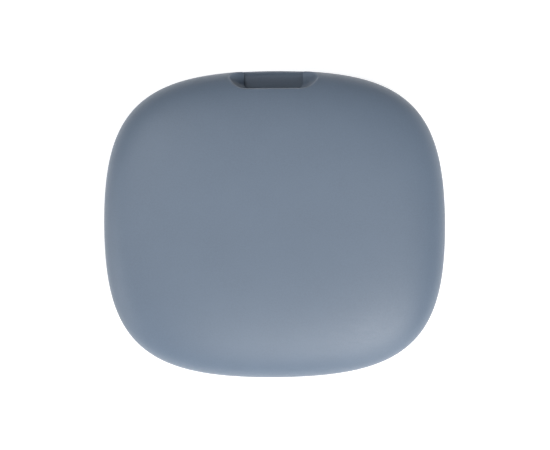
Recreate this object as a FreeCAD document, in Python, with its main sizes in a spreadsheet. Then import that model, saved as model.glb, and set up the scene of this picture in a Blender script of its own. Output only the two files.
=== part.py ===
import FreeCAD, Part
import math
import os
import Sketcher
from FreeCAD import Placement, Rotation, Vector

# A bluetooth tracker tag, lying on its back: +Z out of the face, +Y towards the thumb notch,
# +X to the right of the face. The origin is under the middle of the rest face. Millimetres.

DIMENSIONS = (
    ("half_width", 19.0, "outline, half its width along X"),
    ("half_length", 17.12, "outline, half its length along Y"),
    ("roundness", 0.28, "outline, how far it goes from a superellipse to an ellipse"),
    ("squareness", 3.65, "outline, exponent of the superellipse"),
    ("thickness", 9.0, "rest face to the crown of the face"),
    ("seam_height", 4.0, "top of the rear cover's rim"),
    ("seam_gap", 0.35, "rear cover to front shell, room for the press"),
    ("shell_wall", 1.4, "side wall of both shells at the seam"),
    ("inner_shift", 0.8, "inside of the shells, moved away from the notch"),
    ("front_wall", 1.3, "front shell, thickness at the crown"),
    ("rear_wall", 1.1, "rear cover, thickness of its floor"),
    ("rear_flat", 0.72, "rest face, as a share of the outline"),
    ("shoulder_height", 5.8, "step inside the front shell above the frame's skirt"),
    ("ceiling_inset", 1.2, "step's width, the pocket's wall to the ceiling's"),
    ("landing_height", 7.5, "flat under the ceiling that the buzzer is bonded to"),
    ("notch_width", 9.9, "thumb notch, across its mouth"),
    ("notch_floor_width", 6.3, "thumb notch, across its floor"),
    ("notch_back", 15.04, "thumb notch, Y of its back wall"),
    ("notch_corner", 1.7, "thumb notch, radius of the corners at the back"),
    ("notch_rise", 2.8, "thumb notch, height of its hollow sides"),
    ("fit_gap", 0.3, "inner frame to both shells"),
    ("skirt_wall", 1.2, "inner frame, thickness of the skirt"),
    ("skirt_low", 2.5, "inner frame, foot of the skirt"),
    ("skirt_high", 5.5, "inner frame, top of the skirt"),
    ("deck_thickness", 0.8, "inner frame, plate that the board lies on"),
    ("well_radius", 10.25, "inner frame, battery well"),
    ("well_wall", 0.9, "inner frame, wall of the battery well"),
    ("well_low", 1.7, "inner frame, foot of the battery well"),
    ("rib_width", 0.8, "inner frame, radial ribs"),
    ("lug_reach", 0.55, "snap lugs, beyond the skirt"),
    ("lug_width", 3.2, "snap lugs, along Y"),
    ("lug_low", 4.95, "snap lugs, underside"),
    ("lug_height", 0.35, "snap lugs, height"),
    ("lug_spread", 5.5, "snap lugs and beads, either side of the middle along Y"),
    ("bead_reach", 0.24, "rear cover's snap beads, out of its wall"),
    ("bead_height", 0.4, "rear cover's snap beads, height"),
    ("seal_low", 3.0, "seal groove, lower wall"),
    ("seal_height", 0.7, "seal groove, height"),
    ("seal_depth", 0.55, "seal groove, depth"),
    ("seal_clearance", 0.03, "seal to the rear cover's wall"),
    ("board_height", 5.2, "circuit board, underside"),
    ("board_thickness", 0.8, "circuit board"),
    ("board_gap", 0.3, "circuit board to the skirt"),
    ("screw_x", 11.6, "board screws, X either side of the middle"),
    ("screw_y", 8.4, "board screws, Y either side of the middle"),
    ("screw_head_radius", 1.25, "board screws, head"),
    ("screw_head_height", 0.6, "board screws, head"),
    ("screw_shank_radius", 0.6, "board screws, shank"),
    ("screw_length", 2.9, "board screws, under the head"),
    ("boss_radius", 1.5, "screw bosses"),
    ("cell_radius", 10.0, "coin cell, 20 mm across"),
    ("cell_height", 3.2, "coin cell, 3.2 mm thick"),
    ("cell_wall", 0.25, "coin cell, sheet of the can and the cap"),
    ("cell_crimp", 1.0, "coin cell, width of the can's crimped edge"),
    ("cap_radius", 8.5, "coin cell, negative cap"),
    ("cap_flange_radius", 9.3, "coin cell, the cap's flange under the crimp"),
    ("cathode_radius", 9.2, "coin cell, cathode pellet and separator"),
    ("cathode_thickness", 1.6, "coin cell, cathode pellet"),
    ("cell_low", 1.4, "coin cell, underside"),
    ("pad_radius", 6.0, "battery pad"),
    ("pad_thickness", 0.28, "battery pad"),
    ("leaf", 0.15, "battery contacts, sheet thickness"),
    ("contact_gap", 0.05, "battery contacts to the cell"),
    ("blade_width", 4.0, "negative contact, across"),
    ("blade_slit", 0.7, "negative contact, slit between its two blades"),
    ("blade_tab", 7.5, "negative contact, end of the solder tab from the cell's axis"),
    ("blade_root", 4.0, "negative contact, bend between the tab and the blades"),
    ("blade_touch", 1.6, "negative contact, start of the flat that touches the cell"),
    ("blade_flat", 1.0, "negative contact, length of that flat and of the turned-up tip"),
    ("blade_lift", 0.2, "negative contact, rise of the turned-up tip"),
    ("spring_width", 3.0, "positive contact, across"),
    ("spring_tab", 2.2, "positive contact, end of the solder tab from the cell"),
    ("spring_bow", 0.3, "positive contact, how far it bows in to touch the cell"),
    ("spring_foot", 2.6, "positive contact, lower end"),
    ("spring_bend", 0.5, "positive contact, height of its bend, and of the flat's start"),
    ("spring_flat", 0.6, "positive contact, height of the flat that touches the cell"),
    ("chip_side", 5.0, "bluetooth chip"),
    ("chip_height", 0.85, "bluetooth chip"),
    ("switch_x", 6.5, "switch, X of its middle"),
    ("switch_length", 3.0, "switch, along X"),
    ("switch_width", 2.6, "switch, along Y"),
    ("switch_height", 0.5, "switch base"),
    ("switch_floor", 0.08, "switch base, under its cavity"),
    ("switch_cavity", 1.05, "switch base, radius of its cavity"),
    ("plate_thickness", 0.1, "switch cover plate"),
    ("stem_radius", 0.7, "switch plunger"),
    ("stem_clearance", 0.08, "switch plunger to its plate"),
    ("flange_radius", 0.95, "switch plunger, flange under the plate"),
    ("stem_top", 6.93, "switch plunger, top at rest"),
    ("post_gap", 0.02, "front shell's post to the plunger"),
    ("post_radius", 1.1, "front shell's post"),
    ("buzzer_x", -4.0, "buzzer, X of its middle"),
    ("buzzer_radius", 6.0, "buzzer, brass disc"),
    ("ceramic_radius", 4.3, "buzzer, ceramic disc"),
    ("glue_thickness", 0.08, "buzzer, adhesive ring"),
    ("glue_width", 1.2, "buzzer, adhesive ring"),
    ("brass_thickness", 0.12, "buzzer, brass disc"),
    ("ceramic_thickness", 0.12, "buzzer, ceramic disc"),
)

doc = FreeCAD.newDocument("tracker_tag")
sheet = doc.addObject("Spreadsheet::Sheet", "dimensions")
for row, (alias, number, note) in enumerate(DIMENSIONS, start=1):
    sheet.set(f"A{row}", note)
    sheet.set(f"B{row}", str(number))
    sheet.setAlias(f"B{row}", alias)
doc.recompute()

sub_parts = []


def size(alias):
    """A driving dimension, read from the sheet."""
    return float(sheet.get(alias))


def bound(formula):
    """An expression with each driving dimension's name pointed at the sheet."""
    words = formula.replace("(", " ( ").replace(")", " ) ").split()
    aliases = {row[0] for row in DIMENSIONS}
    return " ".join(f"dimensions.{word}" if word in aliases else word for word in words)


def value_of(formula):
    """The number that an expression of driving dimensions comes to."""
    return float(sheet.evalExpression(bound(formula)))


# ---- Part features, for the shapes that follow the outline


def squircle(half_x, half_y, shift_y, height, points=32):
    """The outline, between a superellipse and an ellipse, as a closed spline."""
    power, roundness = size("squareness"), size("roundness")
    ring = []
    for step in range(points):
        angle = 2 * math.pi * step / points
        along_x, along_y = math.cos(angle), math.sin(angle)
        share_x, share_y = abs(along_x / half_x), abs(along_y / half_y)
        square = (share_x ** power + share_y ** power) ** (1 / power)
        reach = 1 / (roundness * math.hypot(share_x, share_y) + (1 - roundness) * square)
        ring.append(Vector(reach * along_x, shift_y + reach * along_y, height))
    curve = Part.BSplineCurve()
    curve.interpolate(Points=ring, PeriodicFlag=True)
    return curve


def prism(half_x, half_y, shift_y, low, high):
    """A straight-walled block on the outline."""
    face = Part.Face(Part.Wire(squircle(half_x, half_y, shift_y, low).toShape()))
    return face.extrude(Vector(0, 0, high - low))


def pillow(half_x, half_y, shift_y, profile):
    """A solid whose skin is the outline, scaled and raised along a cubic profile of four poles."""
    outline = squircle(half_x, half_y, 0, 0)
    poles = [
        [Vector(pole.x * share, shift_y + pole.y * share, height) for share, height in profile]
        for pole in outline.getPoles()
    ]
    skin = Part.BSplineSurface()
    skin.buildFromPolesMultsKnots(
        poles, outline.getMultiplicities(), [4, 4], outline.getKnots(), [0.0, 1.0], True, False, 3, 3
    )
    faces = [skin.toShape()]
    for share, height in (profile[0], profile[-1]):
        if share > 0:
            ends = [
                edge
                for edge in faces[0].Edges
                if edge.BoundBox.ZLength < 1e-4 and abs(edge.BoundBox.ZMax - height) < 1e-4
            ]
            faces.append(Part.Face(Part.Wire(ends)))
    shell = Part.Shell(faces)
    shell.sewShape()
    return Part.Solid(shell)


def block(low, high):
    """A box between two corners."""
    return Part.makeBox(*(Vector(*high) - Vector(*low)), Vector(*low))


def column(radius, middle_x, middle_y, low, high):
    """An upright round post."""
    return Part.makeCylinder(radius, high - low, Vector(middle_x, middle_y, low))


def keep(label, shape):
    """A sub-part whose shape is set directly."""
    feature = doc.addObject("Part::Feature", label)
    feature.Label = label
    feature.Shape = shape
    feature.Placement = Placement()
    sub_parts.append(feature)
    return feature


# ---- PartDesign bodies, for the turned, punched and folded pieces


def new_body(label):
    body = doc.addObject("PartDesign::Body", label)
    body.Label = label
    sub_parts.append(body)
    return body


def new_sketch(body, name, plane, raised="0"):
    """A sketch on one of the body's own origin planes, raised along the plane's normal."""
    sketch = body.newObject("Sketcher::SketchObject", name)
    support = next(item for item in body.Origin.OriginFeatures if item.Role == plane)
    sketch.AttachmentSupport = [(support, "")]
    sketch.MapMode = "FlatFace"
    sketch.setExpression("AttachmentOffset.Base.z", bound(raised))
    return sketch


def hold(sketch, geometry, point, formulas):
    """Dimension one point of a sketch from the origin, in X and in Y."""
    for kind, formula in zip(("DistanceX", "DistanceY"), formulas):
        index = sketch.addConstraint(
            Sketcher.Constraint(kind, -1, 1, geometry, point, value_of(formula))
        )
        sketch.setExpression(f"Constraints[{index}]", bound(formula))


def draw_loop(sketch, corners):
    """A closed loop of straight lines; each corner is a pair of expressions."""
    spots = [Vector(value_of(along), value_of(up), 0) for along, up in corners]
    first = sketch.GeometryCount
    for start, end in zip(spots, spots[1:] + spots[:1]):
        sketch.addGeometry(Part.LineSegment(start, end))
    for step, corner in enumerate(corners):
        before = first + (step - 1) % len(corners)
        sketch.addConstraint(Sketcher.Constraint("Coincident", before, 2, first + step, 1))
        hold(sketch, first + step, 1, corner)


def draw_circle(sketch, radius, middle):
    """A circle of a radius and a middle given as expressions."""
    spot = Vector(value_of(middle[0]), value_of(middle[1]), 0)
    circle = sketch.addGeometry(Part.Circle(spot, Vector(0, 0, 1), value_of(radius)))
    index = sketch.addConstraint(Sketcher.Constraint("Radius", circle, value_of(radius)))
    sketch.setExpression(f"Constraints[{index}]", bound(radius))
    hold(sketch, circle, 3, middle)


def corners_of(low_x, high_x, low_y, high_y):
    """The four corners of a rectangle, as pairs of expressions."""
    return [(low_x, low_y), (high_x, low_y), (high_x, high_y), (low_x, high_y)]


def pad(body, sketch, length, midplane=False):
    feature = body.newObject("PartDesign::Pad", f"{body.Label}_pad")
    feature.Profile = sketch
    feature.setExpression("Length", bound(length))
    feature.Midplane = midplane
    return feature


def pocket(body, sketch, depth):
    """Cut downwards from the sketch."""
    doc.recompute()
    before = body.Shape.Volume
    feature = body.newObject("PartDesign::Pocket", f"{body.Label}_pocket")
    feature.Profile = sketch
    feature.setExpression("Length", bound(depth))
    doc.recompute()
    if body.Shape.Volume >= before:
        raise RuntimeError(f"{body.Label}: the pocket cuts nothing")
    return feature


def turned(label, profile):
    """A ring or disc about the cell's axis, from a profile of (radius, height) expressions."""
    body = new_body(label)
    sketch = new_sketch(body, f"{label}_profile", "XZ_Plane")
    draw_loop(sketch, profile)
    feature = body.newObject("PartDesign::Revolution", f"{label}_turn")
    feature.Profile = sketch
    feature.ReferenceAxis = (sketch, ["V_Axis"])
    feature.Angle = 360
    body.setExpression("Placement.Base.y", bound("0 - inner_shift"))
    return body


def soften(body, radius, wanted):
    """Fillet the edges of the body's last feature that the test picks."""
    doc.recompute()
    base = body.Tip
    names = [
        f"Edge{number}"
        for number, edge in enumerate(base.Shape.Edges, start=1)
        if wanted(edge)
    ]
    feature = body.newObject("PartDesign::Fillet", f"{body.Label}_round")
    feature.Base = (base, names)
    feature.Radius = radius
    return feature


def chip(label, sides, middle, cut):
    """A moulded or ceramic chip on the board: its sides and its middle are expressions."""
    body = new_body(label)
    sketch = new_sketch(body, f"{label}_foot", "XY_Plane", "board_height + board_thickness")
    half = [f"{middle[0]} {{}} {sides[0]} / 2", f"{middle[1]} {{}} {sides[1]} / 2"]
    draw_loop(sketch, corners_of(*(side.format(sign) for side in half for sign in "-+")))
    pad(body, sketch, sides[2])
    top = value_of(f"board_height + board_thickness + {sides[2]}")
    doc.recompute()
    base = body.Tip
    edges = [
        f"Edge{number}"
        for number, edge in enumerate(base.Shape.Edges, start=1)
        if all(abs(vertex.Z - top) < 1e-6 for vertex in edge.Vertexes)
    ]
    feature = body.newObject("PartDesign::Chamfer", f"{label}_bevel")
    feature.Base = (base, edges)
    feature.Size = cut
    return body


# ---- the two shells


def notch_cutter():
    """The thumb notch: hollow sides in flat steps, an upright back wall with rounded corners."""
    foot = size("seam_height") + size("seam_gap")
    low, high = foot - 1, size("thickness") + 1
    mouth, floor = size("notch_width") / 2, size("notch_floor_width") / 2
    back, depth = size("notch_back"), 6
    section = [(-floor, low)]
    steps = 4
    for step in range(steps + 1):
        rise = step / steps
        along = mouth - (mouth - floor) * (1 - rise) ** 2
        section.append((-along, foot + rise * size("notch_rise")))
    section.append((-mouth, high))
    section += [(-along, up) for along, up in reversed(section)]
    points = [Vector(along, back, up) for along, up in section]
    channel = Part.Face(Part.makePolygon(points + points[:1])).extrude(Vector(0, depth, 0))
    rounded = block((-mouth, back, low), (mouth, back + depth, high))
    upright = [
        edge
        for edge in rounded.Edges
        if edge.BoundBox.ZLength > 1 and abs(edge.BoundBox.YMax - back) < 1e-6
    ]
    return channel.common(rounded.makeFillet(size("notch_corner"), upright))


def inner(inset=0.0):
    """Half sides and shift of the inside of the shells, drawn in by an inset."""
    wall = size("shell_wall") + inset
    shift = size("inner_shift")
    return size("half_width") - wall, size("half_length") - wall - shift, -shift


def side_blocks(reach_low, reach_high, low, high, width):
    """Four small blocks on the left and right walls, where the snaps are."""
    middle = -size("inner_shift")
    blocks = []
    for side in (-1, 1):
        for spread in (-size("lug_spread"), size("lug_spread")):
            near, far = sorted((side * reach_low, side * reach_high))
            blocks.append(
                block(
                    (near, middle + spread - width / 2, low),
                    (far, middle + spread + width / 2, high),
                )
            )
    return blocks


def dome_profile(foot, top):
    """The poles of a crowned dome's profile, upright at its foot and level at its top."""
    fullness, crown_share = 0.8, 0.75
    return [(1, foot), (1, foot + fullness * (top - foot)), (crown_share, top), (0, top)]


def make_front_shell():
    foot = size("seam_height") + size("seam_gap")
    shoulder, ceiling = size("shoulder_height"), size("thickness") - size("front_wall")
    outside = dome_profile(foot, size("thickness"))
    shell = pillow(size("half_width"), size("half_length"), 0, outside)
    shell = shell.cut(pillow(*inner(size("ceiling_inset")), dome_profile(shoulder, ceiling)))
    shell = shell.cut(prism(*inner(), foot - 1, shoulder))
    middle, rooted = -size("inner_shift"), ceiling + 0.3
    landing = size("landing_height")
    boss = size("buzzer_radius") + 0.4
    shell = shell.fuse(column(boss, size("buzzer_x"), middle, landing, rooted))
    post_foot = size("stem_top") + size("post_gap")
    shell = shell.fuse(column(size("post_radius"), size("switch_x"), middle, post_foot, rooted))
    wall = inner()[0]
    window_low = size("lug_low") - 0.1
    window_high = size("lug_low") + size("lug_height") + size("fit_gap")
    for window in side_blocks(
        wall - 1, wall + 0.45, window_low, window_high, size("lug_width") + 0.4,
    ):
        shell = shell.cut(window)
    keep("front_shell", shell.cut(notch_cutter()))


def make_rear_cover():
    rim, flat = size("seam_height"), size("rear_flat")
    outside = [(1, rim), (1, 0.2 * rim), (0.9, 0), (flat, 0)]
    cover = pillow(size("half_width"), size("half_length"), 0, outside)
    step = size("skirt_low") - size("fit_gap")
    cover = cover.cut(prism(*inner(), step, rim + 1))
    cover = cover.cut(prism(*inner(size("ceiling_inset") + 0.2), size("rear_wall"), step + 0.5))
    wall = inner()[0]
    for bead in side_blocks(
        wall - size("bead_reach"), wall + 0.3, step, step + size("bead_height"), size("lug_width"),
    ):
        cover = cover.fuse(bead)
    keep("rear_cover", cover)


# ---- the frame and what it carries


def screw_places():
    middle = -size("inner_shift")
    return [
        (side * size("screw_x"), middle + end * size("screw_y"))
        for side in (-1, 1)
        for end in (-1, 1)
    ]


def make_inner_frame():
    low, high = size("skirt_low"), size("skirt_high")
    deck_high = size("board_height")
    deck_low = deck_high - size("deck_thickness")
    gap, wall = size("fit_gap"), size("skirt_wall")
    middle = -size("inner_shift")
    well, well_low = size("well_radius"), size("well_low")
    frame = prism(*inner(gap), low, high).cut(prism(*inner(gap + wall), low - 1, high + 1))
    frame = frame.fuse(prism(*inner(gap + wall / 2), deck_low, deck_high))
    frame = frame.fuse(column(well + size("well_wall"), 0, middle, well_low, deck_high))
    for place_x, place_y in screw_places():
        frame = frame.fuse(column(size("boss_radius"), place_x, place_y, low, deck_high))
    inside = prism(*inner(gap + wall / 2), low, deck_high)
    half_rib = size("rib_width") / 2
    rib = block((well + 0.3, -half_rib, low), (size("half_width"), half_rib, deck_low + 0.1))
    for turn in (30, 90, 150, 210, 270, 330):
        spoke = rib.copy()
        spoke.Placement = Placement(Vector(0, middle, 0), Rotation(Vector(0, 0, 1), turn))
        frame = frame.fuse(spoke.common(inside))
    frame = frame.cut(column(well, 0, middle, well_low - 1, high + 1))
    for place_x, place_y in screw_places():
        depth = deck_high + size("board_thickness") - size("screw_length")
        frame = frame.cut(column(size("screw_shank_radius"), place_x, place_y, depth, high + 1))
    edge = inner(gap)[0]
    for lug in side_blocks(
        edge - 0.3, edge + size("lug_reach"), size("lug_low"), size("lug_low") + size("lug_height"),
        size("lug_width"),
    ):
        frame = frame.fuse(lug)
    for recess in side_blocks(
        edge - 0.25, edge + 1, low - 1, low + size("bead_height"), size("lug_width") + 0.4,
    ):
        frame = frame.cut(recess)
    seal_low, seal_high = size("seal_low"), size("seal_low") + size("seal_height")
    groove = prism(*inner(gap - 0.2), seal_low, seal_high)
    frame = frame.cut(groove.cut(prism(*inner(gap + size("seal_depth")), seal_low, seal_high)))
    slot = block(
        (size("cell_radius") - 0.3, middle - 2.0, size("skirt_low")),
        (size("cell_radius") + 2.6, middle + 2.0, deck_high + 0.5),
    )
    keep("inner_frame", frame.cut(slot).removeSplitter())


def make_sealing_gasket():
    low, height = size("seal_low"), size("seal_height")
    outer = prism(*inner(size("seal_clearance")), low, low + height)
    ring = outer.cut(prism(*inner(size("fit_gap") + size("seal_depth")), low - 1, low + height + 1))
    keep("sealing_gasket", ring.makeFillet(0.2, level_edges(ring)))


def level_edges(shape):
    """The closed edges that run round a ring at one height."""
    return [edge for edge in shape.Edges if edge.BoundBox.ZLength < 1e-4 and edge.Length > 5]


def make_main_board():
    low = size("board_height")
    high = low + size("board_thickness")
    board = prism(*inner(size("fit_gap") + size("skirt_wall") + size("board_gap")), low, high)
    for place_x, place_y in screw_places():
        hole = column(size("screw_shank_radius") + 0.15, place_x, place_y, low - 1, high + 1)
        board = board.cut(hole)
    keep("main_circuit_board", board)


def make_board_screws():
    low = size("board_height") + size("board_thickness")
    head, tall = size("screw_head_radius"), size("screw_head_height")
    screws = []
    for place_x, place_y in screw_places():
        screw = column(head, place_x, place_y, low, low + tall)
        rim = [edge for edge in screw.Edges if edge.BoundBox.ZMin > low + 0.1]
        screw = screw.makeFillet(0.25, rim)
        shank = column(size("screw_shank_radius"), place_x, place_y, low - size("screw_length"), low)
        screw = screw.fuse(shank)
        for long_x, long_y in ((0.75, 0.14), (0.14, 0.75)):
            screw = screw.cut(
                block(
                    (place_x - long_x, place_y - long_y, low + 0.25),
                    (place_x + long_x, place_y + long_y, low + tall + 1),
                )
            )
        screws.append(screw)
    keep("board_screws", Part.makeCompound(screws))


# ---- the coin cell


def make_cell():
    low, lid = "cell_low", "cell_low + cell_height"
    lip = f"{lid} - 0.2"
    inside = "cell_radius - cell_wall"
    can = turned(
        "cell_can",
        [
            ("0", low), ("cell_radius", low), ("cell_radius", lip), ("cell_radius - cell_crimp", lip),
            ("cell_radius - cell_crimp", f"{lip} - 0.2"), (inside, f"{lip} - 0.2"),
            (inside, f"{low} + cell_wall"), ("0", f"{low} + cell_wall"),
        ],
    )
    outer = value_of("cell_radius")
    soften(
        can, 0.18,
        lambda edge: abs(edge.BoundBox.XMax - outer) < 1e-3 and edge.BoundBox.ZLength < 1e-3,
    )
    cap = turned(
        "cell_cap",
        [
            ("0", lid), ("cap_radius", lid), ("cap_radius", f"{lid} - 0.65"),
            ("cap_flange_radius", f"{lid} - 0.65"), ("cap_flange_radius", f"{lid} - 0.85"),
            ("cap_radius - cell_wall", f"{lid} - 0.85"),
            ("cap_radius - cell_wall", f"{lid} - cell_wall"), ("0", f"{lid} - cell_wall"),
        ],
    )
    rim, top = value_of("cap_radius"), value_of(lid)
    soften(
        cap, 0.15,
        lambda edge: abs(edge.BoundBox.XMax - rim) < 1e-3 and abs(edge.BoundBox.ZMin - top) < 1e-3,
    )
    turned(
        "cell_gasket",
        [
            ("cap_radius", f"{lip} + 0.04"), ("cell_radius - cell_crimp", f"{lip} + 0.04"),
            ("cell_radius - cell_crimp", f"{lip} - 0.2"), (inside, f"{lip} - 0.2"),
            (inside, f"{lid} - 1.3"), ("cap_flange_radius", f"{lid} - 1.3"),
            ("cap_flange_radius", f"{lid} - 0.65"), ("cap_radius", f"{lid} - 0.65"),
        ],
    )
    cathode_top = f"{low} + cell_wall + cathode_thickness"
    disc("cell_cathode", "cathode_radius", f"{low} + cell_wall", cathode_top)
    disc("cell_separator", "cathode_radius", cathode_top, f"{cathode_top} + 0.1")
    disc("cell_anode", "cap_radius - cell_wall - 0.1", f"{cathode_top} + 0.1", f"{lid} - cell_wall")


def disc(label, radius, low, high):
    """A plain disc about the cell's axis."""
    return turned(label, [("0", low), (radius, low), (radius, high), ("0", high)])


def make_battery_pad():
    disc("battery_pad", "pad_radius", "rear_wall", "rear_wall + pad_thickness")


def make_contacts():
    """Folded sheet contacts under the board, drawn from the side and padded across."""
    lid = "cell_low + cell_height + contact_gap"
    foot = "board_height - leaf"
    negative = new_body("negative_contact")
    side = new_sketch(negative, "negative_contact_side", "XZ_Plane")
    flat_end = "blade_touch + blade_flat"
    tip = "blade_touch + 2 * blade_flat"
    draw_loop(
        side,
        [
            ("0 - blade_tab", "board_height"), ("0 - blade_tab", foot), ("0 - blade_root", foot),
            ("blade_touch", lid), (flat_end, lid), (tip, f"{lid} + blade_lift"),
            (tip, f"{lid} + blade_lift + leaf"), (flat_end, f"{lid} + leaf"),
            ("blade_touch", f"{lid} + leaf"), ("0 - blade_root", "board_height"),
        ],
    )
    pad(negative, side, "blade_width", midplane=True)
    negative.setExpression("Placement.Base.y", bound("0 - inner_shift"))
    slit = new_sketch(negative, "negative_contact_slit", "XY_Plane", "board_height + 1")
    half_slit = "blade_slit / 2"
    slit_start = "0 - blade_root + 4 * blade_lift"
    draw_loop(slit, corners_of(slit_start, f"{tip} + 1", f"0 - {half_slit}", half_slit))
    pocket(negative, slit, "3.0")

    positive = new_body("positive_contact")
    side = new_sketch(positive, "positive_contact_side", "XZ_Plane")
    near = "cell_radius + contact_gap"
    back = f"{near} + spring_bow"
    touch_low, touch_high = "spring_foot + spring_bend", "spring_foot + spring_bend + spring_flat"
    bend_high = f"{touch_high} + spring_flat"
    draw_loop(
        side,
        [
            (f"{near} + spring_tab", "board_height"), (f"{near} + spring_tab", foot),
            (f"{back} + leaf", foot), (f"{back} + leaf", bend_high), (f"{near} + leaf", touch_high),
            (f"{near} + leaf", touch_low), (f"{back} + leaf", "spring_foot"),
            (back, "spring_foot"), (near, touch_low), (near, touch_high), (back, bend_high),
            (back, "board_height"),
        ],
    )
    pad(positive, side, "spring_width", midplane=True)
    positive.setExpression("Placement.Base.y", bound("0 - inner_shift"))


# ---- the electronics on the board


def make_chips():
    """The single chips: sides, the middle's place, and the bevel along the top."""
    fine, coarse = 0.06, 0.15
    for label, sides, middle, cut in (
        ("bluetooth_chip", ("chip_side", "chip_side", "chip_height"), ("-4.5", "-5.0"), fine),
        ("radio_crystal", ("2.0", "1.6", "0.5"), ("-9.4", "-5.2"), fine),
        ("clock_crystal", ("3.2", "1.5", "0.8"), ("-4.5", "-9.6"), fine),
        ("chip_antenna", ("6.0", "2.0", "0.8"), ("4.2", "-11.2"), fine),
        ("buzzer_driver", ("2.9", "1.4", "0.95"), ("7.0", "4.4"), coarse),
        ("boost_inductor", ("2.5", "2.0", "1.0"), ("11.2", "3.4"), coarse),
    ):
        chip(label, sides, middle, cut)


def make_chip_group(label, sides, places):
    """Small chips of one size, each turned a quarter where the last figure says so."""
    low = size("board_height") + size("board_thickness")
    chips = []
    for place_x, place_y, quarter in places:
        long, wide = (sides[1], sides[0]) if quarter else (sides[0], sides[1])
        chips.append(
            block(
                (place_x - long / 2, place_y - wide / 2, low),
                (place_x + long / 2, place_y + wide / 2, low + sides[2]),
            )
        )
    keep(label, Part.makeCompound(chips))


def make_small_chips():
    beside_chip = [(-8.0 + 1.4 * step, -1.4, 1) for step in range(6)]
    below_chip = [(-0.9, -3.4 - 1.1 * step, 0) for step in range(4)]
    make_chip_group("chip_capacitors", (1.0, 0.5, 0.5), beside_chip + below_chip)
    resistors = [(1.0, -4.0 - 1.1 * step, 0) for step in range(4)]
    resistors += [(4.4 + 1.3 * step, 7.0, 1) for step in range(4)]
    make_chip_group("chip_resistors", (1.0, 0.5, 0.35), resistors)
    make_chip_group("bulk_capacitors", (2.0, 1.25, 0.9), [(10.6, -5.0, 0), (10.6, -7.0, 0)])


def make_switch():
    board = "board_height + board_thickness"
    middle_y = "0 - inner_shift"
    sides = corners_of(
        "switch_x - switch_length / 2", "switch_x + switch_length / 2",
        "0 - inner_shift - switch_width / 2", "0 - inner_shift + switch_width / 2",
    )
    base = new_body("switch_base")
    foot = new_sketch(base, "switch_base_foot", "XY_Plane", board)
    draw_loop(foot, sides)
    pad(base, foot, "switch_height")
    mouth = new_sketch(base, "switch_base_mouth", "XY_Plane", f"{board} + switch_height")
    draw_circle(mouth, "switch_cavity", ("switch_x", middle_y))
    pocket(base, mouth, "switch_height - switch_floor")

    plate = new_body("switch_cover_plate")
    outline = new_sketch(plate, "switch_plate_outline", "XY_Plane", f"{board} + switch_height")
    draw_loop(outline, sides)
    draw_circle(outline, "stem_radius + stem_clearance", ("switch_x", middle_y))
    pad(plate, outline, "plate_thickness")

    floor = f"{board} + switch_floor"
    rise, sheet_metal = "0.2", "0.05"
    dome = turned(
        "switch_dome",
        [
            ("switch_cavity - 0.1", floor), ("switch_cavity - 0.1", f"{floor} + {sheet_metal}"),
            ("0.35", f"{floor} + {rise}"), ("0", f"{floor} + {rise}"),
            ("0", f"{floor} + {rise} - {sheet_metal}"), ("0.35", f"{floor} + {rise} - {sheet_metal}"),
            ("switch_cavity - 0.2", floor),
        ],
    )
    plunger = turned(
        "switch_plunger",
        [
            ("0", f"{floor} + {rise} + 0.01"), ("flange_radius", f"{floor} + {rise} + 0.01"),
            ("flange_radius", f"{board} + switch_height - 0.03"),
            ("stem_radius", f"{board} + switch_height - 0.03"),
            ("stem_radius", "stem_top"), ("0", "stem_top"),
        ],
    )
    for part in (dome, plunger):
        part.setExpression("Placement.Base.x", bound("switch_x"))


# ---- the buzzer


def make_buzzer():
    landing = "landing_height"
    brass_top = f"{landing} - glue_thickness"
    ceramic_top = f"{brass_top} - brass_thickness"
    glue = turned("buzzer_adhesive", [
        ("buzzer_radius - glue_width", brass_top), ("buzzer_radius", brass_top),
        ("buzzer_radius", landing), ("buzzer_radius - glue_width", landing),
    ])
    brass = disc("buzzer_brass_disc", "buzzer_radius", ceramic_top, brass_top)
    ceramic_low = f"{ceramic_top} - ceramic_thickness"
    ceramic = disc("buzzer_ceramic_disc", "ceramic_radius", ceramic_low, ceramic_top)
    for part in (glue, brass, ceramic):
        part.setExpression("Placement.Base.x", bound("buzzer_x"))


def make_buzzer_contacts():
    """Two leaf springs between the board and the buzzer: one on the brass, one on the ceramic."""
    low = size("board_height") + size("board_thickness")
    brass_low = size("landing_height") - size("glue_thickness") - size("brass_thickness")
    leaf, wide = 0.1, 1.0
    springs = []
    for tip_x, top in (
        (size("buzzer_x") + 5.1, brass_low),
        (size("buzzer_x") + 2.6, brass_low - size("ceramic_thickness")),
    ):
        top -= 0.01
        side = [
            (tip_x - 0.5, low), (tip_x + 0.6, low), (tip_x + 0.6, low + leaf), (tip_x - 0.3, low + leaf),
            (tip_x + 0.4, top - leaf), (tip_x + 0.4, top), (tip_x - 0.1, top), (tip_x - 0.5, low + leaf),
        ]
        points = [Vector(along, 1.2, up) for along, up in side]
        springs.append(Part.Face(Part.makePolygon(points + points[:1])).extrude(Vector(0, wide, 0)))
    keep("buzzer_contacts", Part.makeCompound(springs))


make_front_shell()
make_rear_cover()
make_inner_frame()
make_sealing_gasket()
make_main_board()
make_board_screws()
make_cell()
make_battery_pad()
make_contacts()
make_chips()
make_small_chips()
make_switch()
make_buzzer()
make_buzzer_contacts()

doc.recompute()
for item in doc.Objects:
    if "Invalid" in item.State or "Error" in item.State:
        raise RuntimeError(f"{item.Label} failed: {item.State}")
for part in sub_parts:
    if part.Shape.isNull() or not part.Shape.isValid():
        raise RuntimeError(f"{part.Label} has no valid shape")
os.makedirs("parts", exist_ok=True)
for part in sub_parts:
    part.Shape.exportStep(f"parts/{part.Label}.step")
    print(f"{part.Label}: {len(part.Shape.Solids)} solid, {part.Shape.Volume:.3f} mm3")
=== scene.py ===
import math
from itertools import product

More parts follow.
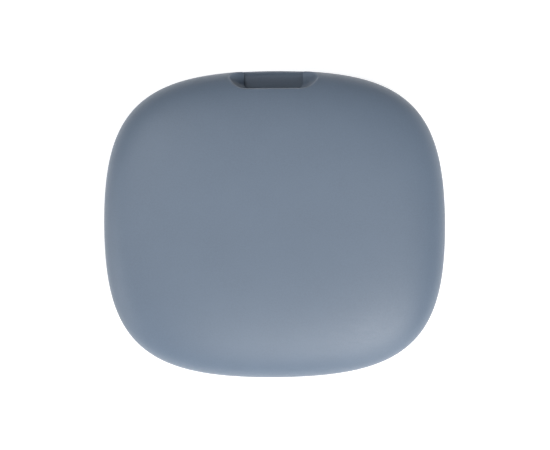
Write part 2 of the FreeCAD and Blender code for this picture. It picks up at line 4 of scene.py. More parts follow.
import bpy
import numpy as np
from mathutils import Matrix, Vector


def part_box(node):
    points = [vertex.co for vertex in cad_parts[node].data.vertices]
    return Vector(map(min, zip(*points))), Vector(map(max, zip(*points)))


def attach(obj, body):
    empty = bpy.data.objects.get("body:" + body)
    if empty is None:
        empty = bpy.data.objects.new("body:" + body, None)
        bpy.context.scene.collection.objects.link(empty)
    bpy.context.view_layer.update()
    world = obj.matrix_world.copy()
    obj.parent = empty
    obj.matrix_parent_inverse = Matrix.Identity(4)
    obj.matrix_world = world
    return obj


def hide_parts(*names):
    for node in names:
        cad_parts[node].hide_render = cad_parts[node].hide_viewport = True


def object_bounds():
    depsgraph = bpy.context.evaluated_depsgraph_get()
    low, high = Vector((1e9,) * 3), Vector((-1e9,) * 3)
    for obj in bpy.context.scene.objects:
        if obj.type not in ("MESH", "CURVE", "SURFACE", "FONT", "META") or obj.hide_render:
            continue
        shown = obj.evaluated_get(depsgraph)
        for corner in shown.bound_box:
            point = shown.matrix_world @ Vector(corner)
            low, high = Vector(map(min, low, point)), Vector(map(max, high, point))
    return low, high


# A bluetooth tracker tag on its back, seen straight from its face. Shapes are sculpted in
# millimetres from distance fields and turned profiles, and stored in metres.

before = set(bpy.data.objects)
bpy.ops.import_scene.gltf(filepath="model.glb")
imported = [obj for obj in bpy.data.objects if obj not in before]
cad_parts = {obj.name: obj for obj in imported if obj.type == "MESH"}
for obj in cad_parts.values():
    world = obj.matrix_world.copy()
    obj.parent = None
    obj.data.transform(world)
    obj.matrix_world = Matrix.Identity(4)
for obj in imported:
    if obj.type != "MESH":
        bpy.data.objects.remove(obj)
cad_low, cad_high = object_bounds()
MM = 0.001
WHOLE_TURN = 2 * math.pi


def box_mm(node):
    """A CAD node's lowest and highest corners, in millimetres."""
    low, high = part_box(node)
    return np.array(low) / MM, np.array(high) / MM


front_low, front_high = box_mm("front_shell")
HALF_X, HALF_Y = float(front_high[0] - front_low[0]) / 2, float(front_high[1] - front_low[1]) / 2
SEAM, CROWN = float(front_low[2]), float(front_high[2])
RIM = float(box_mm("rear_cover")[1][2])
SQUARENESS = 3.65      # exponent of the outline's superellipse
ROUNDNESS = 0.28       # how far the outline goes from that to an ellipse
BULGE = 3.0            # exponent of the face's crown
INNER_SHIFT = 0.8      # the inside of both shells sits this far from the notch
SHELL_WALL = 1.4
CEILING_INSET = 1.2
CEILING = CROWN - 1.3
SHOULDER = 5.8

# ---- camera

VIEW_WIDTH = 61.3      # what the picture's width covers at the seam, in millimetres
LENS = 300.0
SENSOR = 36.0
AIM = (0.04, -0.11)    # the middle of the picture, from the middle of the tag
ROLL = 0.45            # degrees that the tag is turned in the picture


def make_camera():
    data = bpy.data.cameras.new("camera")
    data.lens = LENS
    data.sensor_width = SENSOR
    data.clip_start = 0.01
    data.clip_end = 10
    camera = bpy.data.objects.new("camera", data)
    bpy.context.scene.collection.objects.link(camera)
    height = SEAM + VIEW_WIDTH * LENS / SENSOR
    camera.location = Vector((AIM[0], AIM[1], height)) * MM
    camera.rotation_euler = (0, 0, math.radians(-ROLL))
    bpy.context.scene.camera = camera


make_camera()

# ---- light


LIGHT_DISTANCE, LIGHT_SIZE = 0.5, 0.30   # metres


def softbox(name, azimuth, elevation, power):
    """A square area light aimed at the tag: azimuth from +X towards +Y, elevation above the floor."""
    data = bpy.data.lights.new(name, "AREA")
    data.size = LIGHT_SIZE
    data.energy = power
    light = bpy.data.objects.new(name, data)
    bpy.context.scene.collection.objects.link(light)
    a, e = math.radians(azimuth), math.radians(elevation)
    out = Vector((math.cos(e) * math.cos(a), math.cos(e) * math.sin(a), math.sin(e)))
    light.location = out * LIGHT_DISTANCE
    light.rotation_euler = (-out).to_track_quat("-Z", "Y").to_euler()


def make_lights():
    """A key over the front right corner, a low fill below it, and three weak fills around it."""
    softbox("key", -60, 55, 2.2)
    softbox("front_fill", -60, 20, 0.7)
    softbox("left_fill", -165, 20, 0.75)
    softbox("back_fill", 150, 60, 0.65)
    softbox("overhead", 0, 89, 0.1)


make_lights()
bpy.context.scene.view_settings.view_transform = "Standard"

# ---- materials


class Shader:
    """A principled material with a few node helpers, in the object's own coordinates."""

    def __init__(self, name, colour, roughness, metallic=0.0):
        self.material = bpy.data.materials.new(name)
        self.material.use_nodes = True
        self.tree = self.material.node_tree
        self.surface = self.tree.nodes["Principled BSDF"]
        self.surface.inputs["Base Color"].default_value = (*colour, 1)
        self.surface.inputs["Roughness"].default_value = roughness
        self.surface.inputs["Metallic"].default_value = metallic
        self.place = self.tree.nodes.new("ShaderNodeTexCoord").outputs["Object"]
        self.colour = colour
        self.bump = None

    def stretched(self, scale):
        """The object's coordinates, scaled differently along each axis."""
        node = self.tree.nodes.new("ShaderNodeMapping")
        node.inputs["Scale"].default_value = scale
        self.tree.links.new(self.place, node.inputs["Vector"])
        return node.outputs["Vector"]

    def noise(self, size_mm, detail=2.0, stretch=None):
        """Noise whose features are about size_mm across, as a value from 0 to 1."""
        node = self.tree.nodes.new("ShaderNodeTexNoise")
        node.inputs["Scale"].default_value = 1 / (size_mm * MM)
        node.inputs["Detail"].default_value = detail
        self.tree.links.new(self.stretched(stretch) if stretch else self.place, node.inputs["Vector"])
        return node.outputs["Fac"]

    def cells(self, size_mm):
        """Rounded cells about size_mm across, as the distance from each cell's middle."""
        node = self.tree.nodes.new("ShaderNodeTexVoronoi")
        node.inputs["Scale"].default_value = 1 / (size_mm * MM)
        self.tree.links.new(self.place, node.inputs["Vector"])
        return node.outputs["Distance"]

    def attribute(self, name):
        node = self.tree.nodes.new("ShaderNodeAttribute")
        node.attribute_name = name
        return node.outputs["Fac"]

    def ranged(self, value, low, high, from_low=0.3, from_high=0.7):
        """A value spread from one range to another, and held inside it."""
        node = self.tree.nodes.new("ShaderNodeMapRange")
        for socket, number in (
            ("From Min", from_low), ("From Max", from_high), ("To Min", low), ("To Max", high),
        ):
            node.inputs[socket].default_value = number
        self.tree.links.new(value, node.inputs["Value"])
        return node.outputs["Result"]

    def math(self, operation, first, second):
        node = self.tree.nodes.new("ShaderNodeMath")
        node.operation = operation
        self.tree.links.new(first, node.inputs[0])
        if isinstance(second, float):
            node.inputs[1].default_value = second
        else:
            self.tree.links.new(second, node.inputs[1])
        return node.outputs["Value"]

    def tint(self, other, factor):
        """Mix the colour so far towards another one by a factor from 0 to 1."""
        node = self.tree.nodes.new("ShaderNodeMix")
        node.data_type = "RGBA"
        colour_in = self.surface.inputs["Base Color"]
        if colour_in.is_linked:
            self.tree.links.new(colour_in.links[0].from_socket, node.inputs[6])
        else:
            node.inputs[6].default_value = (*self.colour, 1)
        node.inputs[7].default_value = (*other, 1)
        self.tree.links.new(factor, node.inputs[0])
        self.tree.links.new(node.outputs[2], colour_in)

    def rough(self, value):
        self.tree.links.new(value, self.surface.inputs["Roughness"])

    def relief(self, height, depth_mm, strength=1.0):
        """A bump of a height from 0 to 1, depth_mm deep, on top of any before it."""
        node = self.tree.nodes.new("ShaderNodeBump")
        node.inputs["Distance"].default_value = depth_mm * MM
        node.inputs["Strength"].default_value = strength
        self.tree.links.new(height, node.inputs["Height"])
        if self.bump:
            self.tree.links.new(self.bump, node.inputs["Normal"])
        self.bump = node.outputs["Normal"]
        self.tree.links.new(self.bump, self.surface.inputs["Normal"])

    def set(self, **sockets):
        """Plain values on the shader's own sockets, such as Coat_Weight=0.2."""
        for name, number in sockets.items():
            self.surface.inputs[name.replace("_", " ")].default_value = number
        return self


def scaled(colour, factor):
    return tuple(min(1.0, part * factor) for part in colour)


SLATE = (0.145, 0.19, 0.255)


def slate_plastic():
    """Blue-grey moulded plastic: fine spark-eroded grain, faint mottling, rims polished by use and
    painted lighter as a highlight.
    """
    shader = Shader("slate_plastic", SLATE, 0.45)
    shader.tint(scaled(SLATE, 0.93), shader.ranged(shader.noise(3.5, 3.0), 0.0, 0.6))
    shader.tint(scaled(SLATE, 1.10), shader.ranged(shader.noise(0.16, 2.0), 0.0, 0.5))
    # painted highlight: the colour is made lighter along sharp edges and rims, where light catches them
    shader.tint(scaled(SLATE, 1.25), shader.math("MULTIPLY", shader.attribute("edge"), 0.35))
    worn = shader.math("MULTIPLY", shader.attribute("edge"), -0.10)
    shader.rough(shader.math("ADD", shader.ranged(shader.noise(0.35, 3.0), 0.40, 0.50), worn))
    shader.relief(shader.noise(0.11, 2.0), 0.006, 0.6)
    shader.relief(shader.cells(0.23), 0.004, 0.35)
    return shader.set(IOR=1.5).material


def black_plastic(name, colour, grain_mm=0.18):
    """Dark moulded plastic with a coarser tool grain and dusty high spots."""
    shader = Shader(name, colour, 0.5)
    shader.tint(scaled(colour, 1.9), shader.ranged(shader.noise(grain_mm * 2, 3.0), 0.0, 0.5))
    shader.rough(shader.ranged(shader.noise(grain_mm * 4, 3.0), 0.38, 0.62))
    shader.relief(shader.noise(grain_mm, 3.0), 0.012, 0.7)
    return shader.material


def brushed_metal(name, colour, roughness, stretch=(0.04, 1.0, 1.0), line_mm=0.03):
    """Rolled or brushed sheet: fine lines along one axis, and faint handling marks."""
    shader = Shader(name, colour, roughness, metallic=1.0)
    lines = shader.noise(line_mm, 3.0, stretch)
    shader.tint(scaled(colour, 0.80), shader.ranged(lines, 0.0, 0.5))
    shader.tint(scaled(colour, 0.72), shader.ranged(shader.noise(2.2, 4.0), 0.0, 0.35, 0.5, 0.75))
    shader.rough(shader.ranged(lines, roughness - 0.07, roughness + 0.10))
    shader.relief(lines, 0.002, 0.5)
    return shader.material


def soft_rubber(name, colour, roughness, grain_mm):
    """Silicone or foam: dull, slightly uneven, with a dusting."""
    shader = Shader(name, colour, roughness)
    shader.tint(scaled(colour, 1.35), shader.ranged(shader.noise(grain_mm * 3, 3.0), 0.0, 0.5))
    shader.rough(shader.ranged(shader.noise(grain_mm * 2, 2.0), roughness - 0.08, roughness + 0.08))
    shader.relief(shader.cells(grain_mm), 0.02, 0.5)
    return shader.material


def ceramic(name, colour, roughness):
    """Fired or pressed ceramic: small speckles and a fine granular surface."""
    shader = Shader(name, colour, roughness)
    shader.tint(scaled(colour, 0.75), shader.ranged(shader.noise(0.12, 4.0), 0.0, 0.6))
    shader.rough(shader.ranged(shader.noise(0.2, 3.0), roughness - 0.06, roughness + 0.1))
    shader.relief(shader.noise(0.06, 3.0), 0.004, 0.5)
    return shader.material


def solder_mask(name="solder_mask", lift=1.0):
    """Dark green lacquer over a glass weave, with the weave just showing; lighter over copper."""
    colour = scaled((0.006, 0.052, 0.030), lift)
    shader = Shader(name, colour, 0.28)
    weave = shader.tree.nodes.new("ShaderNodeTexBrick")
    weave.inputs["Scale"].default_value = 1 / (0.9 * MM)
    weave.inputs["Mortar Size"].default_value = 0.04
    shader.tree.links.new(shader.place, weave.inputs["Vector"])
    shader.tint(scaled(colour, 1.5), shader.ranged(weave.outputs["Fac"], 0.0, 0.5, 0.0, 1.0))
    shader.tint(scaled(colour, 0.7), shader.ranged(shader.noise(1.6, 3.0), 0.0, 0.5))
    shader.rough(shader.ranged(shader.noise(0.6, 3.0), 0.22, 0.36))
    shader.relief(weave.outputs["Fac"], 0.006, 0.4)
    return shader.material


# ---- distance fields, in millimetres: negative inside


def true_distance(level, x, y, z, step=0.004):
    """A level function's value over the length of its gradient."""
    here = level(x, y, z)
    slope = (
        (level(x + step, y, z) - here) ** 2
        + (level(x, y + step, z) - here) ** 2
        + (level(x, y, z + step) - here) ** 2
    )
    return here * step / np.sqrt(np.maximum(slope, (step * 0.02) ** 2))


def outline_share(x, y, half_x, half_y, shift_y=0.0):
    """1 on the outline, less inside it."""
    share_x, share_y = np.abs(x / half_x), np.abs((y - shift_y) / half_y)
    square = (share_x ** SQUARENESS + share_y ** SQUARENESS) ** (1 / SQUARENESS)
    return ROUNDNESS * np.hypot(share_x, share_y) + (1 - ROUNDNESS) * square


def round_max(a, b, radius):
    """What two fields share, with the edge between them rounded."""
    reach = np.hypot(np.maximum(radius + a, 0), np.maximum(radius + b, 0))
    return np.minimum(-radius, np.maximum(a, b)) + reach


def round_min(a, b, radius):
    """Two fields joined, with a fillet between them."""
    return -round_max(-a, -b, radius)


def bulge(x, y, z, half_x, half_y, foot, top, shift_y=0.0):
    """The crowned pebble shape above a foot plane."""

    def level(x, y, z):
        rise = np.abs(z - foot) / (top - foot)
        share = outline_share(x, y, half_x, half_y, shift_y)
        return (share ** BULGE + rise ** BULGE) ** (1 / BULGE) - 1

    return true_distance(level, x, y, z)


def wall_prism(x, y, half_x, half_y):
    """The straight-walled inside of the shells."""

    def level(x, y, z):
        return outline_share(x, y, half_x, half_y, -INNER_SHIFT) - 1

    return true_distance(level, x, y, np.zeros_like(x))


def inner_half(inset):
    return HALF_X - SHELL_WALL - inset, HALF_Y - SHELL_WALL - INNER_SHIFT - inset


NOTCH_MOUTH, NOTCH_FLOOR = 4.98, 3.15   # half its width across the mouth and across the floor
NOTCH_BACK = 15.02
NOTCH_CORNERS = (0.5, 1.7)              # radius of the back corners at the floor and at the lip
NOTCH_SIDE = (4.35, 6.8)                # heights between which its sides curve up and out
NOTCH_DRAFT = 0.02
LIP = 0.15


def notch(x, y, z):
    """The thumb notch: a scoop with hollow sides, upright at the lip, and a steep back wall."""
    rise = np.clip((z - NOTCH_SIDE[0]) / (NOTCH_SIDE[1] - NOTCH_SIDE[0]), 0, 1)
    half_width = NOTCH_MOUTH - (NOTCH_MOUTH - NOTCH_FLOOR) * (1 - rise) ** 2
    corner = NOTCH_CORNERS[0] + (NOTCH_CORNERS[1] - NOTCH_CORNERS[0]) * rise
    side = np.abs(x) - half_width
    back = NOTCH_BACK + NOTCH_DRAFT * (CROWN - z) - y
    return round_max(side * 0.85, back, corner)


def post(x, y, z, middle_x, radius, low):
    """A round boss that hangs from the ceiling."""
    across = np.hypot(x - middle_x, y + INNER_SHIFT) - radius
    return np.maximum(np.maximum(across, low - z), z - CEILING - 0.4)


PRESS_POST = (6.5, 1.1, 6.95)           # middle, radius and foot of the post over the switch
BUZZER_SEAT = (-4.0, 6.4, 7.5)          # and of the seat that the buzzer is glued to
SEAM_ROUND, CAVITY_ROUND = 0.16, 0.12


def front_shell_field(x, y, z):
    outside = bulge(x, y, z, HALF_X, HALF_Y, SEAM, CROWN)
    body = round_max(outside, SEAM - z, SEAM_ROUND)
    cavity = bulge(x, y, z, *inner_half(CEILING_INSET), SHOULDER, CEILING, -INNER_SHIFT)
    cavity = np.maximum(cavity, SHOULDER - 0.2 - z)
    pocket = np.maximum(wall_prism(x, y, *inner_half(0.0)), z - SHOULDER)
    body = round_max(body, -np.minimum(cavity, pocket), CAVITY_ROUND)
    body = np.minimum(body, post(x, y, z, *PRESS_POST))
    body = np.minimum(body, post(x, y, z, *BUZZER_SEAT))
    return round_max(body, -notch(x, y, z), LIP)


REAR_STEP, REAR_FLOOR = 2.2, 1.1
ROLL_RADIUS = 0.65                      # the rim's outer edge where the notch bares it
RING_RADIUS, RING_TOP = 12.0, 2.0       # low ring round the cell, inside the rear cover
RIB_HALF, RIB_TOP = 0.28, 1.75          # ribs from the ring to the wall
RIB_ROOT = 0.3                          # how far they reach into the floor and the wall
RIB_TURNS = (0, 40, 90, 140)
RING_HALF, FILLET = 0.4, 0.15


def rear_ribs(x, y, z):
    """The stiffening ring and ribs that stand on the rear cover's floor."""
    out = np.hypot(x, y + INNER_SHIFT)
    ring = round_max(np.abs(out - RING_RADIUS) - RING_HALF, z - RING_TOP, FILLET)
    ribs = np.full_like(x, 9.0)
    for turn in RIB_TURNS:
        a = math.radians(turn)
        across = np.abs((y + INNER_SHIFT) * math.cos(a) - x * math.sin(a)) - RIB_HALF
        ribs = np.minimum(ribs, round_max(across, z - RIB_TOP, 0.12))
    ribs = np.maximum(ribs, RING_RADIUS - out)
    rooted = wall_prism(x, y, *inner_half(CEILING_INSET + 0.2)) - RIB_ROOT
    rooted = np.maximum(rooted, REAR_FLOOR - RIB_ROOT - z)
    return np.maximum(round_min(ring, ribs, FILLET), rooted)


BEAD_OUT, BEAD_MIDDLE, BEAD_HALF = 0.24, 5.5, 1.6   # the four snap beads inside the wall
BEAD_RISE = 0.2                                     # half their height; they stand on the step
REAR_SIDE, REAR_BELLY, REAR_LEVEL = 12, 3, 5.0      # exponents of the rear half's shape
BARE_EDGE, BARE_FADE = 0.9, 1.6                     # where the rim's roll starts beside the notch


def rear_cover_field(x, y, z):
    def level(x, y, z):
        drop = np.maximum(RIM - z, 0) / RIM
        share = outline_share(x, y, HALF_X, HALF_Y)
        return (share ** REAR_SIDE + drop ** REAR_BELLY) ** (1 / REAR_LEVEL) - 1

    outside = true_distance(level, x, y, z)
    bared = np.clip((NOTCH_FLOOR + BARE_EDGE - np.abs(x)) / BARE_FADE, 0, 1) * (y > 0)
    radius = SEAM_ROUND + (ROLL_RADIUS - SEAM_ROUND) * bared * bared * (3 - 2 * bared)
    body = round_max(outside, z - RIM, radius)
    upper = np.maximum(wall_prism(x, y, *inner_half(0.0)), REAR_STEP - z)
    lower = np.maximum(wall_prism(x, y, *inner_half(CEILING_INSET + 0.2)), REAR_FLOOR - z)
    body = round_max(body, -round_min(upper, lower, FILLET), 0.14)
    bead_x = np.abs(np.abs(x) - inner_half(0.0)[0]) - BEAD_OUT
    bead_y = np.abs(np.abs(y + INNER_SHIFT) - BEAD_MIDDLE) - BEAD_HALF
    bead_z = np.abs(z - REAR_STEP - BEAD_RISE) - BEAD_RISE
    bead = round_max(round_max(bead_x, bead_y, FILLET), bead_z, 0.12)
    return np.minimum(round_min(body, rear_ribs(x, y, z), FILLET), bead)


# ---- meshes


def stepped(low, high, coarse, fine=None, fine_low=None, fine_high=None):
    """Grid positions from low to high, closer together between fine_low and fine_high."""
    if fine is None:
        return np.linspace(low, high, int((high - low) / coarse) + 2)
    runs = ((low, fine_low, coarse), (fine_low, fine_high, fine), (fine_high, high, coarse))
    parts = [np.linspace(a, b, max(2, int((b - a) / step) + 2)) for a, b, step in runs if b > a]
    return np.unique(np.round(np.concatenate(parts), 6))


def settle(field, points, rounds=5, step=1e-3):
    """Move points on to the field's surface, and return them with the surface's normals."""
    for _ in range(rounds):
        value = field(*points.T)
        slope = np.stack(
            [
                (field(*(points + offset).T) - field(*(points - offset).T)) / (2 * step)
                for offset in np.eye(3) * step
            ],
            axis=1,
        )
        steep = np.maximum((slope ** 2).sum(1), 0.05)
        move = slope * (value / steep)[:, None]
        length = np.linalg.norm(move, axis=1, keepdims=True)
        points = points - move * np.minimum(1, 0.12 / np.maximum(length, 1e-9))
    return points, slope / np.linalg.norm(slope, axis=1, keepdims=True)


def surface_net(field, axes):
    """Vertices, normals and quads of the surface where the field is zero, on an uneven grid."""
    grid = field(*np.meshgrid(*axes, indexing="ij"))
    inside = grid < 0
    shape = np.array(grid.shape)
    corners = [
        inside[i:shape[0] - 1 + i, j:shape[1] - 1 + j, k:shape[2] - 1 + k]
        for i, j, k in product((0, 1), repeat=3)
    ]
    mixed = np.logical_or.reduce(corners) & ~np.logical_and.reduce(corners)
    number = np.full(mixed.shape, -1)
    cells = np.stack(np.nonzero(mixed), axis=1)
    number[tuple(cells.T)] = np.arange(len(cells))

    def position(index):
        return np.stack([axes[k][index[:, k]] for k in range(3)], axis=1)

    total, count = np.zeros((len(cells), 3)), np.zeros(len(cells))
    for axis in range(3):
        others = [k for k in range(3) if k != axis]
        for offsets in product((0, 1), repeat=2):
            start = cells.copy()
            start[:, others] += offsets
            end = start.copy()
            end[:, axis] += 1
            first, last = grid[tuple(start.T)], grid[tuple(end.T)]
            crossed = (first < 0) != (last < 0)
            share = (first / np.where(crossed, first - last, 1))[:, None]
            total += np.where(crossed[:, None], position(start) * (1 - share) + position(end) * share, 0)
            count += crossed
    points, normals = settle(field, total / count[:, None])
    quads = []
    for axis in range(3):
        u, v = (axis + 1) % 3, (axis + 2) % 3
        low = np.take(inside, range(shape[axis] - 1), axis=axis)
        high = np.take(inside, range(1, shape[axis]), axis=axis)
        edges = np.stack(np.nonzero(low != high), axis=1)
        kept = (edges[:, u] > 0) & (edges[:, v] > 0)
        kept &= (edges[:, u] < shape[u] - 1) & (edges[:, v] < shape[v] - 1)
        edges = edges[kept]
        ring = []
        for back_u, back_v in ((1, 1), (0, 1), (0, 0), (1, 0)):
            cell = edges.copy()
            cell[:, u] -= back_u
            cell[:, v] -= back_v
            ring.append(number[tuple(cell.T)])
        ring = np.stack(ring, axis=1)
        outward = low[tuple(edges.T)]
        quads.append(np.where(outward[:, None], ring, ring[:, ::-1]))
    return points, normals, np.concatenate(quads)


def add_mesh(name, points, faces, normals=None):
    """A smooth-shaded object from points in millimetres."""
    mesh = bpy.data.meshes.new(name)
    mesh.from_pydata((np.asarray(points) * MM).tolist(), [], [list(map(int, face)) for face in faces])
    mesh.validate()
    mesh.shade_smooth()
    if normals is not None:
        mesh.normals_split_custom_set_from_vertices(np.asarray(normals).tolist())
    item = bpy.data.objects.new(name, mesh)
    bpy.context.scene.collection.objects.link(item)
    return item


def dress(item, material, body, slot, *nodes):
    """Give a piece its material and its body, and hide the CAD nodes that it stands for; the slot is not
    used.
    """
    item.data.materials.clear()
    item.data.materials.append(material)
    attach(item, body)
    if nodes:
        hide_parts(*nodes)


def mark_edges(item, normals, points, field, reach=0.22):
    """Store how sharply the surface turns at each point, for the wear and the painted highlight along
    its edges.
    """
    dip = field(*(points - normals * reach).T) + reach
    bump = field(*(points + normals * reach).T) - reach
    turn = np.clip((np.abs(dip) + np.abs(bump)) / reach * 2.2 - 0.12, 0, 1)
    attribute = item.data.attributes.new("edge", "FLOAT", "POINT")
    attribute.data.foreach_set("value", turn.astype(np.float32))


COARSE, FINE = ((0.29, 0.105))
GRID_MARGIN = 0.3
FINE_HALF_X, FINE_FROM_Y = 5.6, 14.6    # the grid is finer round the notch


def make_shells(material):
    far_x, far_y = HALF_X + GRID_MARGIN, HALF_Y + GRID_MARGIN
    xs = stepped(-far_x, far_x, COARSE, FINE, -FINE_HALF_X, FINE_HALF_X)
    ys = stepped(-far_y, far_y, COARSE, FINE, FINE_FROM_Y, far_y)
    for name, field, low, high, body in (
        ("front_shell_skin", front_shell_field, SEAM, CROWN, "front_cap"),
        ("rear_cover_skin", rear_cover_field, 0.0, RIM, "rear_door"),
    ):
        zs = stepped(low - 0.25, high + 0.25, FINE)
        points, normals, quads = surface_net(field, (xs, ys, zs))
        points = np.clip(points, np.array(cad_low) / MM, np.array(cad_high) / MM)
        item = add_mesh(name, points, quads, normals)
        mark_edges(item, normals, points, field)
        node = name.replace("_skin", "")
        dress(item, material, body, "slate_shell", node)


make_shells(slate_plastic())


# ---- small turned and printed pieces


def turned(name, profile, turns, middle):
    """A closed solid turned about an upright axis, from (radius, height) points up its outside."""
    points, faces = [], []
    for radius, height in profile:
        for turn in range(turns):
            a = WHOLE_TURN * turn / turns
            points.append((middle[0] + radius * math.cos(a), middle[1] + radius * math.sin(a), height))
    for level, turn in product(range(len(profile) - 1), range(turns)):
        after = (turn + 1) % turns
        near, far = level * turns, (level + 1) * turns
        faces.append((near + turn, near + after, far + after, far + turn))
    faces.append(tuple(reversed(range(turns))))
    faces.append(tuple(range((len(profile) - 1) * turns, len(profile) * turns)))
    return add_mesh(name, points, faces)


def make_foam_pad(material):
    """The die-cut foam disc under the cell: pinched at its cut edge, a little proud inside it."""
    low, high = box_mm("battery_pad")
    radius, bottom, top = float(high[0]), float(low[2]), float(high[2])
    edge, steps = 0.10, 6
    profile = [(radius - edge, bottom)]
    for step in range(steps + 1):
        a = math.pi * (step / steps - 0.5)
        profile.append((radius - edge + edge * math.cos(a), bottom + (1 + math.sin(a)) * edge))
    for share in (0.96, 0.9, 0.8, 0.6, 0.4, 0.2, 0.05):
        rise = (top - bottom - 2 * edge) * (1 - share ** 6)
        profile.append((share * radius, bottom + 2 * edge + rise))
    pad = turned("foam_pad", profile, 96, (0.0, -INNER_SHIFT))
    dress(pad, material, "rear_door", "foam_pad", "battery_pad")


BOARD_UNDERSIDE = float(box_mm("main_circuit_board")[0][2])
TRACK_HALF, TRACK_PROUD = 0.14, 0.02
PAD_RADIUS = 0.42
TRACKS = (                       # across the battery well, from pad to pad
    ((-8.6, -3.6), (-5.2, -3.6), (-3.4, -5.4), (-3.4, -8.2)),
    ((-8.6, -4.6), (-5.8, -4.6), (-4.4, -6.0), (-4.4, -7.4)),
    ((8.4, 2.4), (5.6, 2.4), (3.4, 4.6), (3.4, 7.2)),
    ((8.2, 3.6), (6.2, 3.6), (4.6, 5.2), (4.6, 6.2)),
    ((-7.8, 3.2), (-4.6, 3.2), (-1.8, 6.0), (-1.8, 8.2)),
    ((6.0, -7.0), (4.0, -5.0), (0.8, -5.0), (-0.8, -6.6)),
)


def add_prism(points, faces, ring, low, high):
    """Add an upright prism on a ring of points to a growing mesh."""
    first, count = len(points), len(ring)
    points += [(px, py, low) for px, py in ring] + [(px, py, high) for px, py in ring]
    for step in range(count):
        after = (step + 1) % count
        faces.append((first + step, first + after, first + count + after, first + count + step))
    faces.append(tuple(first + step for step in reversed(range(count))))
    faces.append(tuple(first + count + step for step in range(count)))


def circle(middle, radius, turns=20):
    return [
        (middle[0] + radius * math.cos(WHOLE_TURN * turn / turns),
         middle[1] + radius * math.sin(WHOLE_TURN * turn / turns))
        for turn in range(turns)
    ]


def strip(route, half):
    """The outline of a flat track of even width along a route."""
    sides = ([], [])
    for index, spot in enumerate(route):
        here = Vector(spot)
        before = (here - Vector(route[index - 1])).normalized() if index else None
        after = (Vector(route[index + 1]) - here).normalized() if index + 1 < len(route) else None
        along = ((before or after) + (after or before)).normalized()
        across = Vector((-along.y, along.x)) * half / along.dot(after or before)
        sides[0].append(tuple(here - across))
        sides[1].append(tuple(here + across))
    return sides[0] + sides[1][::-1]


def make_board_print(mask, gold):
    """Tracks under the lacquer and bare gilt pads on the board's underside, inside the well."""
    low = BOARD_UNDERSIDE - TRACK_PROUD
    points, faces = [], []
    for route in TRACKS:
        moved = [(px, py - INNER_SHIFT) for px, py in route]
        add_prism(points, faces, strip(moved, TRACK_HALF), low, BOARD_UNDERSIDE)
    tracks = add_mesh("board_tracks", points, faces)
    tracks.data.shade_flat()
    dress(tracks, mask, "chassis", "board_laminate")
    points, faces = [], []
    for route in TRACKS:
        for spot in (route[0], route[-1]):
            middle = (spot[0], spot[1] - INNER_SHIFT)
            add_prism(points, faces, circle(middle, PAD_RADIUS), low - TRACK_PROUD, BOARD_UNDERSIDE)
    pads = add_mesh("board_test_pads", points, faces)
    pads.data.shade_flat()
    dress(pads, gold, "chassis", "contact_gold")


# ---- carried-over CAD nodes

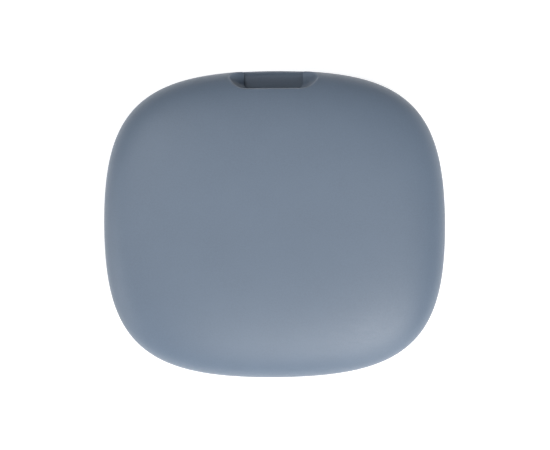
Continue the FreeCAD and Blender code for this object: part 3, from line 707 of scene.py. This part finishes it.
FRAME_PLASTIC = black_plastic("frame_plastic", (0.020, 0.021, 0.024))
GOLD = brushed_metal("contact_gold", (0.83, 0.61, 0.28), 0.27)
STEEL = brushed_metal("cell_steel", (0.47, 0.47, 0.48), 0.30)
PLATED = brushed_metal("screw_steel", (0.56, 0.57, 0.60), 0.30)
NODE_MATERIALS = {
    "inner_frame": FRAME_PLASTIC,
    "sealing_gasket": soft_rubber("seal_silicone", (0.36, 0.12, 0.08), 0.50, 0.12),
    "main_circuit_board": solder_mask(),
    "board_screws": PLATED,
    "cell_can": STEEL,
    "cell_cap": STEEL,
    "cell_gasket": soft_rubber("cell_seal", (0.50, 0.50, 0.46), 0.5, 0.08),
    "negative_contact": GOLD,
    "positive_contact": GOLD,
    "buzzer_contacts": GOLD,
    "bluetooth_chip": black_plastic("chip_mould", (0.016, 0.016, 0.018), 0.05),
    "radio_crystal": brushed_metal("crystal_can", (0.66, 0.64, 0.60), 0.32),
    "chip_antenna": ceramic("antenna_ceramic", (0.70, 0.72, 0.74), 0.35),
    "chip_capacitors": ceramic("capacitor_ceramic", (0.36, 0.24, 0.14), 0.4),
    "chip_resistors": ceramic("resistor_body", (0.02, 0.02, 0.024), 0.25),
    "switch_base": black_plastic("switch_plastic", (0.025, 0.025, 0.027), 0.06),
    "switch_cover_plate": brushed_metal("spring_steel", (0.62, 0.62, 0.60), 0.3),
    "switch_plunger": ceramic("plunger_plastic", (0.55, 0.52, 0.46), 0.5),
    "buzzer_adhesive": soft_rubber("adhesive_film", (0.6, 0.6, 0.57), 0.35, 0.2),
    "buzzer_brass_disc": brushed_metal("buzzer_brass", (0.74, 0.53, 0.22), 0.25),
    "buzzer_ceramic_disc": ceramic("buzzer_ceramic", (0.72, 0.71, 0.68), 0.3),
    "cell_cathode": ceramic("cell_powder", (0.03, 0.03, 0.032), 0.8),
}
SAME_AS = {
    "cell_separator": "cell_cathode", "cell_anode": "cell_cathode", "clock_crystal": "radio_crystal",
    "buzzer_driver": "bluetooth_chip", "boost_inductor": "bluetooth_chip",
    "bulk_capacitors": "chip_capacitors", "switch_dome": "switch_cover_plate",
}


def dress_cad_nodes():
    for node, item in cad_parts.items():
        if item.hide_render:
            continue
        material = NODE_MATERIALS[SAME_AS.get(node, node)]
        item.data.materials.clear()
        item.data.materials.append(material)


make_foam_pad(soft_rubber("foam_pad", (0.035, 0.035, 0.04), 0.85, 0.16))
make_board_print(solder_mask("tracked_mask", 1.7), GOLD)
dress_cad_nodes()

# ---- floor


def glowing(name, colour, strength):
    """A plain white surface that glows, so that shadows on it stay faint."""
    shader = Shader(name, colour, 0.9)
    shader.set(Emission_Strength=strength)
    shader.surface.inputs["Emission Color"].default_value = (1, 1, 1, 1)
    return shader.material


STAGE_REACH = 1200.0                    # millimetres from the tag to the backdrop


def make_stage():
    """A white table, and a pale dome behind it that only the camera sees."""
    reach = STAGE_REACH
    corners = [(-reach, -reach, 0), (reach, -reach, 0), (reach, reach, 0), (-reach, reach, 0)]
    floor = add_mesh("floor", corners, [(0, 1, 2, 3)])
    floor.location.z = -0.00002
    floor.data.materials.append(glowing("pale_floor", (0.5, 0.5, 0.5), 0.85))
    turns, levels = 48, 12
    points, faces = [], []
    for level, turn in product(range(levels + 1), range(turns)):
        up, round_ = math.pi * (level / levels - 0.5), WHOLE_TURN * turn / turns
        points.append((reach * math.cos(up) * math.cos(round_), reach * math.cos(up) * math.sin(round_),
                       reach * math.sin(up)))
    for level, turn in product(range(levels), range(turns)):
        near, far = level * turns, (level + 1) * turns
        after = (turn + 1) % turns
        faces.append((near + turn, far + turn, far + after, near + after))
    dome = add_mesh("backdrop", points, faces)
    dome.data.materials.append(glowing("pale_backdrop", (0.0, 0.0, 0.0), 0.95))
    dome.visible_diffuse = False
    dome.visible_glossy = False
    dome.visible_shadow = False


make_stage()
